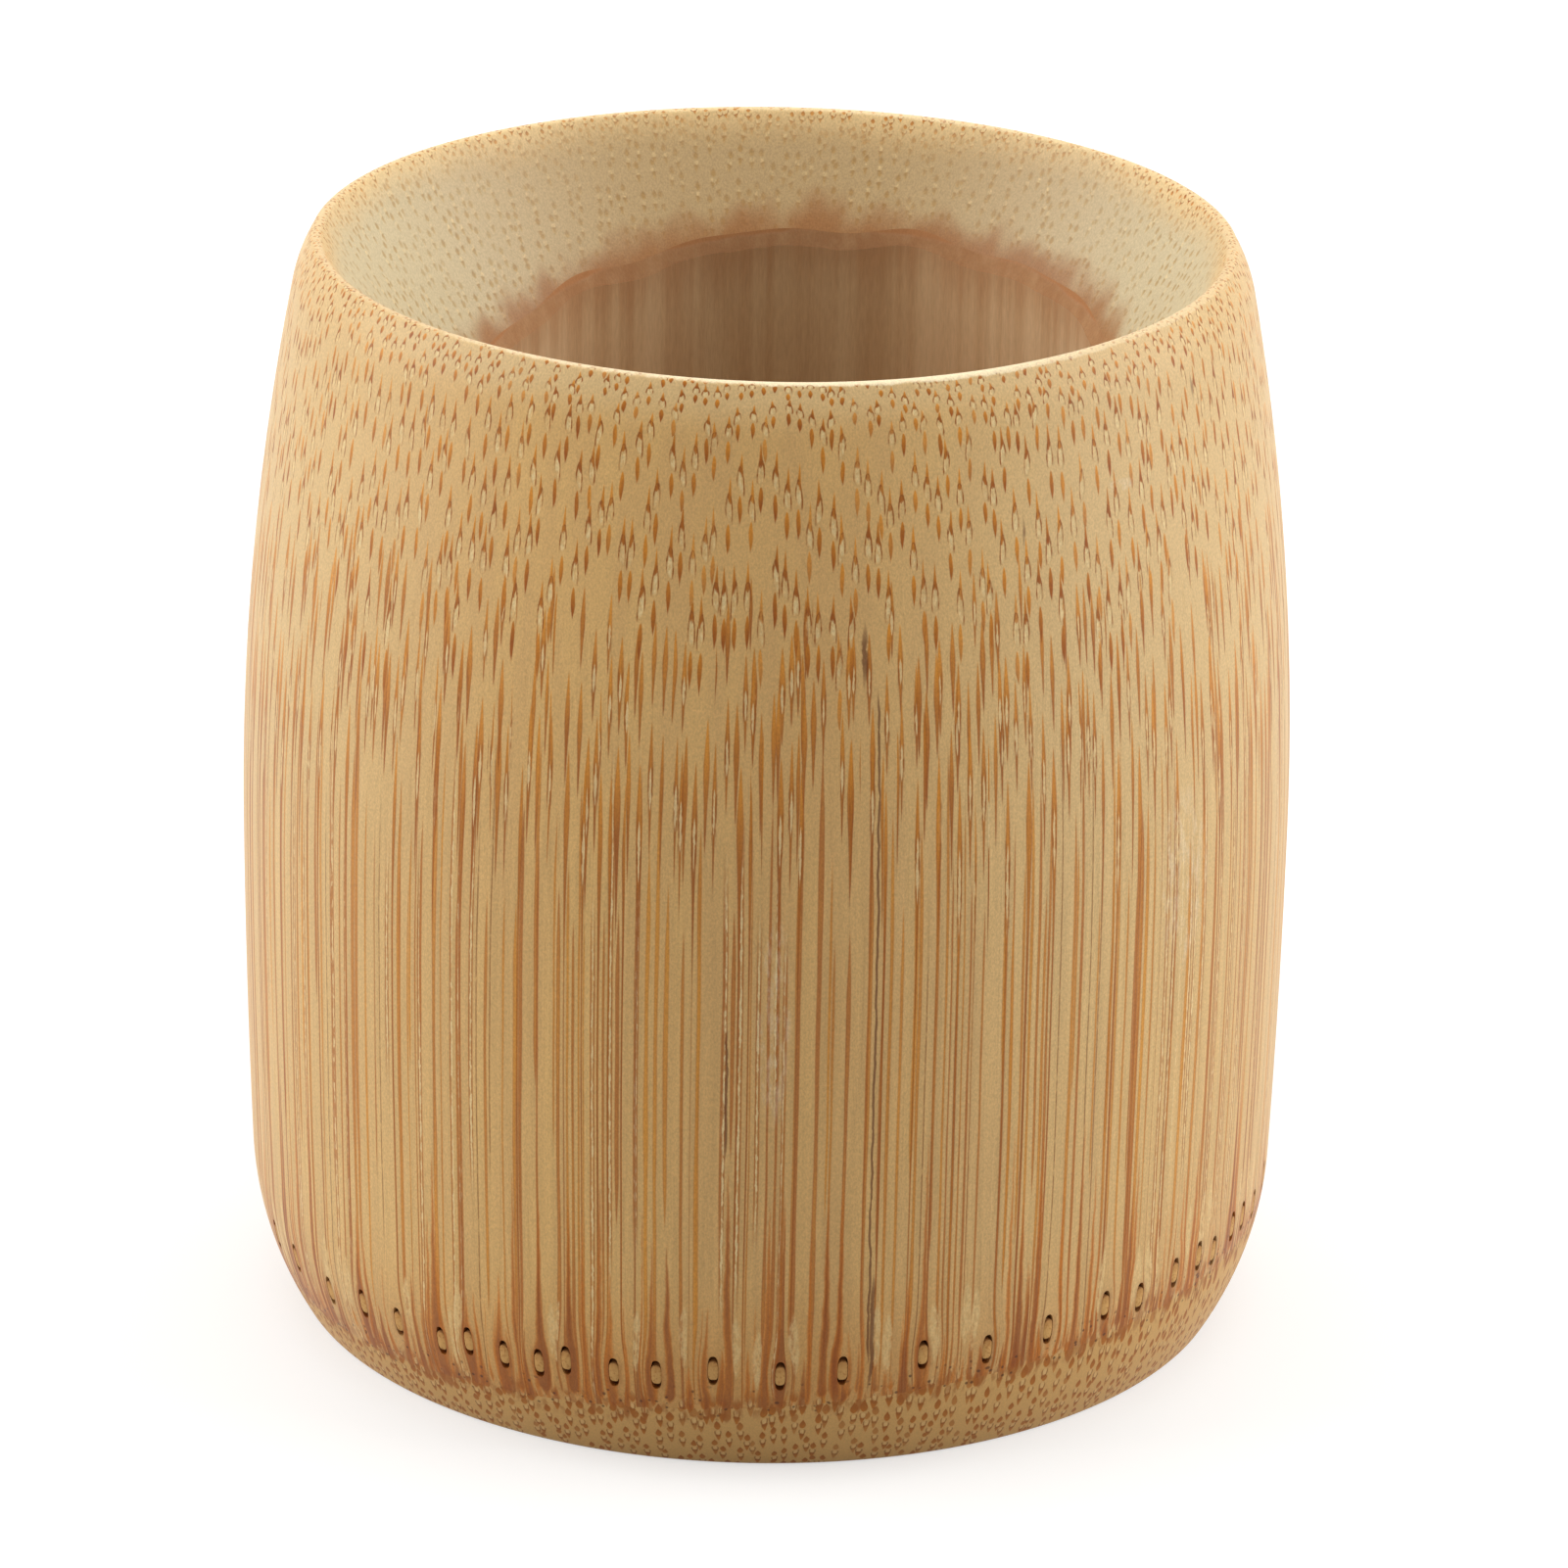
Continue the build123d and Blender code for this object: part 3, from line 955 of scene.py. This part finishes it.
    # the node: marks of the joint below, flared ends, pale lenses, brown, specks, and painted shade on the
    # sides of the pits
    crossing = ramp(ragged * -2.6 + above, 0.1, -0.9)
    colour = footMarks(colour, place, above, crossing)
    for sizes, share in finish["flares"]:
        flare = useGroup(seamFlare, bent, Above=above, **sizes)
        brown = mix(limited(flare["Chance"] + fade), finish["flareLight"], finish["flareDark"])
        colour = mix(flare["Flare"] * share, colour, brown)
    # the main row of flares also gives the rest
    colour = mix(flare["Lens"] * ramp(broken, 0.35, 0.6, 0.25, 0.75), colour, finish["lens"])
    colour = mix(flare["Brown"] * 0.55, colour, finish["seam"])
    byRoot = ramp(abs(root["Across"]), 0.8, 0.45) * ramp(abs(root["Up"]), 1.7, 0.4)
    colour = mix(byRoot * 0.35, colour, finish["flareDark"])
    colour = mix(flare["Speck"] * 0.75, colour, finish["speck"])
    # painted shade: the walls of each pit, sunk below the heel's arc, are darkened
    sunk = heelArc(z) + heelCentre.x - reach
    paintedPitShade = ramp(sunk, 0.06, 0.4) * ramp(above, 6.5, 6.0) * ramp(abs(root["Up"]), 0.45, 0.75)
    colour = mix(paintedPitShade * 0.9, colour, finish["pit"])

    # the wall browns next to the pith skin, and its lip is paler: partly wear where the rounding cut the
    # fibres, partly a painted highlight along the crest
    scallop = noise(place, (0.45, 0.45, 0.1), 1.0) * 2.0
    browned = hollow["radius"] + finish["fringe"], hollow["radius"] + finish["fringeFull"]
    pith = ramp(scallop + fromHollow(place), *browned)
    colour = mix(pith, colour, finish["pith"])
    front = lipFront(x, y)
    fromCrest = front * -turning["lipLean"] + wallHigh.z / mm - z
    thick = noise(place, (1.3, 1.3, 1.3), 3.0, 0.6) * 0.42 + ramp(x, -4.0, 14.0, -0.12, 0.02)
    # pale wear and a painted highlight on the lip's crest, strongest at the front and cut back to the left
    # and right
    lip = ramp(fromCrest - thick, 0.05, -0.1) * ramp(front, 0.02, 0.3, 0.3, 1.0)
    lip = lip * (ramp(x, -20.0, 0.0, 0.5, 0.9) * ramp(x, 25.0, 12.0, 0.4, 1.0))
    colour = mix(lip, colour, finish["lip"])

    # dark stains along the fibres, and places rubbed pale
    stained = strongest(stainLine, place, ("Bearing", "Low", "High", "Width"), finish["stains"])
    rubbed = strongest(scuffPatch, place, ("Bearing", "Height", "Width", "Tall"), finish["scuffs"])
    colour = mix(stained * finish["stainShare"], colour, finish["stain"])
    colour = mix(rubbed * finish["wornShare"], colour, finish["worn"])

    colour = mix(1.0, colour, grain["Scratch"] * 0.07 + speckle(finish, grain), "MULTIPLY")
    rough = bundle["Vessel"] * 0.1 + (rubbed * -0.12 + roughened(finish, grain))
    relief = bundle["Fibre"] * 0.25 + grain["Grain"] * 0.3
    relief = bundle["Vessel"] * outer * -0.5 + relief
    dress(shader, finish, colour, rough, relief)
    return material


footFinish = {
    "tan": tint(212, 168, 106), "pale": tint(208, 184, 140), "capLight": tint(186, 116, 48),
    "capDark": tint(156, 92, 38), "vessel": tint(226, 190, 132), "sheath": tint(146, 90, 42),
    "flare": tint(166, 98, 42), "seam": tint(160, 96, 42), "speck": tint(72, 40, 22),
    "spacing": 0.8, "scatter": 0.75, "reach": 0.72, "capWidth": 0.52, "vesselWidth": 0.42, "twist": 0.3,
    "speckle": (0.9, 1.07), "roughness": 0.5, "roughSpread": 0.16, "specular": 0.16,
    "coat": 0.04, "coatRoughness": 0.3, "bump": 0.25, "bumpDepth": 0.1,
}


def footMarks(colour, place, above, share):  # bundles of the joint below, cut across
    finish = footFinish
    drifted = useGroup(culmDrift, place, Stray=0.7, Follow=0.0)["Place"]
    swollen = ramp(above, -2.2, -0.2) * 0.16  # the marks are largest at the seam
    bundle = useGroup(fibreBundles, drifted, Spacing=finish["spacing"], Reach=finish["reach"],
                      Cap_Width=swollen + finish["capWidth"], Vessel_Width=finish["vesselWidth"],
                      Scatter=finish["scatter"], Twist=finish["twist"])
    cap = mix(bundle["Tone"], finish["capLight"], finish["capDark"])
    strength = ramp(bundle["Chance"], 0.0, 0.4, 0.7, 1.0) * share
    colour = mix(bundle["Fibre"] * strength, colour, cap)
    colour = mix(bundle["Vessel"] * (share * 0.6), colour, finish["vessel"])
    return mix(bundle["Sheath"] * (share * 0.75), colour, finish["sheath"])


def footMaterial():
    finish = footFinish
    material, tree, shader = newMaterial("lacqueredFoot")
    place = placeInMm(tree)
    above = aboveSeam(axesOf(place))
    grain = useGroup(sandedGrain, place, Along=0.8)
    outer = ramp(calc("LENGTH", flat(place)), 27.0, 32.0)
    colour = mix(outer, finish["pale"], finish["tan"])
    colour = footMarks(colour, place, above, ramp(outer, 0, 1, 0.55, 1.0))
    flare = useGroup(seamFlare, place, Above=above)
    colour = mix(flare["Flare"] * 0.85, colour, finish["flare"])
    colour = mix(flare["Brown"] * 0.55, colour, finish["seam"])
    colour = mix(flare["Speck"] * 0.75, colour, finish["speck"])
    colour = mix(1.0, colour, speckle(finish, grain), "MULTIPLY")
    dress(shader, finish, colour, roughened(finish, grain), grain["Grain"] * 0.3)
    return material


pithFinish = {
    "skin": tint(200, 170, 134), "streak": tint(188, 155, 119), "light": tint(207, 180, 145),
    "cutEdge": tint(156, 104, 60), "edge": tint(166, 118, 80),
    "face": (0.72, 0.61, 0.5, 1.0),  # painted shade: how far the up-facing cut face is darkened against the light it catches
    "speckle": (0.92, 1.07), "roughness": 0.6, "roughSpread": 0.2, "specular": 0.15,
    "bump": 0.3, "bumpDepth": 0.2,
}


def pithMaterial(name, along):
    finish = pithFinish
    material, tree, shader = newMaterial(name)
    place = placeInMm(tree)
    axes = axesOf(place)
    grain = useGroup(sandedGrain, place, Along=along)
    streaks = noise(place, (0.9, 0.9, 0.5 * along * along), 3.0, 0.55)
    broad = noise(place, (0.3, 0.3, 0.2 * along))
    colour = mix(ramp(streaks, 0.32, 0.68), finish["streak"], finish["skin"])
    colour = mix(ramp(broad, 0.45, 0.7) * 0.55, colour, finish["light"])

    # the skin is stained towards its upper end, where the funnel cut it off
    cut = ramp(broad * 0.4 + fromHollow(place), hollow["radius"], hollow["radius"] + 0.2)
    colour = mix(cut, colour, finish["cutEdge"])
    drop = (lipRadius - calc("LENGTH", flat(place))) / turning["mouthSlope"]
    fromCut = turning["crestHeight"] - drop - axes["Z"]
    colour = mix(ramp(streaks * 6.0 + fromCut, 7.0, 2.0, 0.0, 0.55), colour, finish["edge"])
    # painted shade: the up-facing cut face is darkened, to read no lighter than the inside below it
    upward = axesOf(addNode(tree, "ShaderNodeNewGeometry")["True Normal"])["Z"]
    face = ramp(upward, 0.3, 0.5) * ramp(fromCut, 1.0, 0.5) * (1.0 - cut)
    colour = mix(face, colour, finish["face"], "MULTIPLY")

    # painted light: the inside is painted darker in the middle and lighter towards the left and right
    paintedLighting = ramp(abs(axes["X"]), 2.0, 18.0, 0.85, 1.18)
    colour = mix(1.0, colour, paintedLighting, "MULTIPLY")
    colour = mix(1.0, colour, speckle(finish, grain), "MULTIPLY")
    relief = streaks * 0.6 + grain["Grain"] * 0.3
    dress(shader, finish, colour, roughened(finish, grain), relief)
    return material


rootFinish = {
    # the rim tone is painted shade at the plug's ends
    "tissue": tint(208, 162, 100), "core": tint(172, 116, 62), "rim": tint(112, 66, 36),
    "roughness": 0.6, "roughSpread": 0.2, "specular": 0.15, "bump": 0.4, "bumpDepth": 0.1,
}


def rootMaterial():
    finish = rootFinish
    material, tree, shader = newMaterial("rootTissue")
    place = placeInMm(tree)
    root = useGroup(nearestRoot, place)
    grain = useGroup(sandedGrain, place, Along=1.0)
    wide = (root["Across"] / (rootRing["plugWidth"] / 2)) ** 2.0
    tall = (root["Up"] / (rootRing["plugLength"] / 2)) ** 2.0
    # painted shade: the plug is darkened at its ends, beside the gaps in its pit
    rim = ramp(calc("SQRT", wide * 0.25 + tall), 0.8, 1.1)
    flecks = noise(place, (5.0, 5.0, 5.0))
    colour = mix(ramp(flecks, 0.5, 0.7) * 0.7, finish["tissue"], finish["core"])
    colour = mix(ramp(root["Up"], -0.1, 0.7, 0.0, 0.5), colour, finish["core"])
    colour = mix(rim * 0.75, colour, finish["rim"])
    dress(shader, finish, colour, roughened(finish, grain), flecks)
    return material


# Root traces: one rod, set round the ring by Geometry Nodes, makes the plugs and the cutters of their pits

def ovalRod(name, width, length, power, levels):  # a higher power is squarer; levels: height and share
    sides = rootRing["sides"]
    shape = bmesh.new()
    rings = []
    for height, share in levels:
        ring = []
        for n in range(sides):
            angle = fullTurn * n / sides
            corner = (math.cos(angle), math.sin(angle))
            east, north = (math.copysign(abs(s) ** (2 / power), s) for s in corner)
            spot = Vector((east * width / 2 * share, north * length / 2 * share, height))
            ring.append(shape.verts.new(spot * mm))
        rings.append(ring)
    for lower, upper in zip(rings, rings[1:]):
        for n in range(sides):
            m = (n + 1) % sides
            shape.faces.new((lower[n], lower[m], upper[m], upper[n]))
    shape.faces.new(list(reversed(rings[0])))
    shape.faces.new(rings[-1])
    mesh = bpy.data.meshes.new(name)
    shape.to_mesh(mesh)
    shape.free()
    return mesh


def rootRingTree():
    tree, given, result = newGroup("rootTraceRing", "GeometryNodeTree", {
        "Geometry": "NodeSocketGeometry", "Wall": "NodeSocketObject", "Count": rootRing["count"],
        "Spread": rootRing["spread"], "Swing": rootRing["swing"], "Swings": rootRing["swings"],
        "Swing Start": rootRing["swingStart"], "Golden Angle": rootRing["goldenAngle"],
        "Rise": rootRing["rise"], "Rise Spread": rootRing["riseSpread"],
        "Rise Turns": rootRing["riseTurns"], "Seam Height": seam["height"], "Slope": rootRing["slope"],
        "Heel Radius": heelRadius, "Start": 2 * heelRadius, "Finish": "NodeSocketMaterial",
    }, ["Geometry"])
    number = addNode(tree, "GeometryNodeInputIndex")[0]
    golden = number * given["Golden Angle"]
    even = number * (fullTurn / given["Count"])
    swing = calc("SINE", even * given["Swings"] + given["Swing Start"])
    bearing = swing * given["Swing"] + even + calc("SINE", golden) * given["Spread"]
    east, south = calc("SINE", bearing), calc("COSINE", bearing)
    level = east * given["Heel Radius"] * given["Slope"] + given["Seam Height"] + given["Rise"]
    level = level + calc("COSINE", golden * given["Rise Turns"]) * given["Rise Spread"]
    outward = vectorOf(east, south * -1.0)

    wall = addNode(tree, "GeometryNodeObjectInfo", {"Object": given["Wall"]})
    ray = addNode(tree, "GeometryNodeRaycast", {  # from outside to the wall
        "Target Geometry": wall["Geometry"], "Ray Direction": outward * -1.0, "Ray Length": 1.0,
        "Source Position": (outward * given["Start"] + vectorOf(z=level)) * mm,
    })
    points = addNode(tree, "GeometryNodePoints", {"Count": given["Count"]})
    seats = addNode(tree, "GeometryNodeSetPosition", {
        "Geometry": points[0], "Position": ray["Hit Position"],
    })
    facing = addNode(tree, "FunctionNodeAxesToRotation", {
        "Primary Axis": ray["Hit Normal"], "Secondary Axis": (0, 0, 1),
    }, primary_axis="Z", secondary_axis="Y")
    copies = addNode(tree, "GeometryNodeInstanceOnPoints", {
        "Points": seats["Geometry"], "Instance": given["Geometry"], "Rotation": facing[0],
    })
    result["Geometry"] = dressed(copies["Instances"], given["Finish"])
    return tree


def cutPits(wall, cutter):
    modifier = wall.modifiers.new("pits", "BOOLEAN")
    modifier.operation = "DIFFERENCE"
    modifier.solver = "EXACT"
    modifier.object = cutter
    cut = made(wall, "culmWall")
    bpy.data.objects.remove(cutter)
    tidyMesh(cut, sharp["wall"])
    return cut


# The cup's pieces

turned, rootRings = turnedTree(), rootRingTree()
lacqueredCulm, lacqueredFoot, rootTissue = wallMaterial(), footMaterial(), rootMaterial()
pithSkin, septumSkin = pithMaterial("pithSkin", 0.12), pithMaterial("septumSkin", 0.9)
print("finishes", [m.name for m in (lacqueredCulm, lacqueredFoot, rootTissue, pithSkin, septumSkin)])

solidWall = turnPiece("solidWall", wallSection(), lacqueredCulm, sharp["wall"])
footRing = turnPiece("footRing", footSection(), lacqueredFoot, sharp["inside"])
nodeSeptum = turnPiece("nodeSeptum", septumSection(), septumSkin, sharp["inside"])
pithLining = turnPiece("pithLining", liningSection(), pithSkin, sharp["lining"])

depth, top, dome = -rootRing["pitDepth"], rootRing["plugTop"], rootRing["dome"]
plug = ovalRod("plug", rootRing["plugWidth"], rootRing["plugLength"], rootRing["plugPower"],
               [(depth, 1), (top - dome, 1), (top - 0.3 * dome, 0.97), (top, 0.9)])
pit = ovalRod("pit", rootRing["pitWidth"], rootRing["pitLength"], rootRing["pitPower"],
              [(depth, 1), (1, 1)])
rootTraces = madeByNodes("rootTraces", plug, rootRings, Wall=solidWall, Finish=rootTissue)
rootTraces.data.shade_smooth()
rootTraces.data.set_sharp_from_angle(angle=math.radians(sharp["plug"]))
culmWall = cutPits(solidWall, madeByNodes("pits", pit, rootRings, Wall=solidWall, Finish=lacqueredCulm))
print("root traces", rootRing["count"], "wall faces", len(culmWall.data.polygons))

cupPieces = [
    (culmWall, "culm_wall", "bamboo"), (footRing, "foot_ring", "bamboo_foot"),
    (nodeSeptum, "node_septum", "septum"), (pithLining, "pith_lining", "pith_skin"),
    (rootTraces, "root_traces", "root_tissue"),
]
for piece, node, slot in cupPieces:
    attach(piece, "root")
    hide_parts(node)


# Studio: a white floor, soft boxes left and right, a weaker light above

studio = {
    "floor": tint(176, 176, 175), "floorSize": 6.0, "floorRoughness": 0.9, "floorGlow": 0.6, "world": 0.335,
    "white": (1, 1, 1, 1), "fill": (1.0, 0.97, 0.9, 1.0),  # the room is a little warmer than the soft boxes
    "boxes": [  # place in metres, width, height, power in watts
        ((-0.85, 0.0, 0.4), 0.8, 0.9, 7.2), ((0.85, 0.0, 0.4), 0.8, 0.9, 7.2),
        ((0.0, 0.25, 0.95), 0.9, 0.9, 5.5),
    ],
}


def seenDirectly(tree):  # by the camera, in a reflection or through glass
    rays = addNode(tree, "ShaderNodeLightPath")
    seen = calc("MAXIMUM", rays["Is Camera Ray"], rays["Is Glossy Ray"])
    return calc("MAXIMUM", seen, rays["Is Transmission Ray"])


def addFloor():
    mesh = bpy.data.meshes.new("floor")
    half = studio["floorSize"] / 2
    corners = [(-half, -half, 0), (half, -half, 0), (half, half, 0), (-half, half, 0)]
    mesh.from_pydata(corners, [], [(0, 1, 2, 3)])
    material, tree, shader = newMaterial("paleFloor")
    shader["Base Color"] = studio["floor"]
    shader["Roughness"] = studio["floorRoughness"]
    shader["Emission Color"] = studio["white"]
    shader["Emission Strength"] = seenDirectly(tree) * studio["floorGlow"]
    mesh.materials.append(material)
    linked("floor", mesh)


def addWorld():
    world = bpy.data.worlds.new("studio")
    world.use_nodes = True
    tree = world.node_tree
    tree.nodes.clear()
    seen = seenDirectly(tree)
    sky = addNode(tree, "ShaderNodeBackground", {
        "Color": mix(seen, studio["fill"], studio["white"]),
        "Strength": ramp(seen, 0, 1, studio["world"], 1.0, smooth=False),
    })
    addNode(tree, "ShaderNodeOutputWorld", {"Surface": sky[0]})
    scene.world = world


def addBoxes(aim):
    for n, (place, width, height, power) in enumerate(studio["boxes"]):
        light = bpy.data.lights.new("softBox%d" % n, "AREA")
        light.shape = "RECTANGLE"
        light.size, light.size_y = width, height
        light.energy = power
        lamp = linked(light.name, light)
        lamp.location = place
        lamp.rotation_euler = (aim - Vector(place)).to_track_quat("-Z", "Y").to_euler()


camera = {
    "lens": 174.2, "sensor": 36.0, "distance": 552.3, "elevation": 21.025, "roll": 0.902,
    "axisPixel": (782.6, 776.8),  # where the middle of the cup's axis falls in the photograph
}


def addCamera(aim):
    data = bpy.data.cameras.new("camera")
    data.lens, data.sensor_width = camera["lens"], camera["sensor"]
    across, down = camera["axisPixel"]
    data.shift_x = 0.5 - across / imageSide
    data.shift_y = down / imageSide - 0.5
    eye = linked("camera", data)
    up = math.radians(camera["elevation"])
    back = Vector((0, -math.cos(up), math.sin(up)))
    eye.location = aim + back * camera["distance"] * mm
    turn = (-back).to_track_quat("-Z", "Y").to_matrix().to_4x4()
    roll = Matrix.Rotation(math.radians(camera["roll"]), 4, "Z")
    eye.rotation_euler = (turn @ roll).to_euler()
    scene.camera = eye


middle = Vector((0, 0, (cadLow.z + cadHigh.z) / 2))
addFloor()
addWorld()
addBoxes(middle)
addCamera(middle)
scene.view_settings.view_transform = "Standard"
print("studio ready")

bpy.context.view_layer.update()
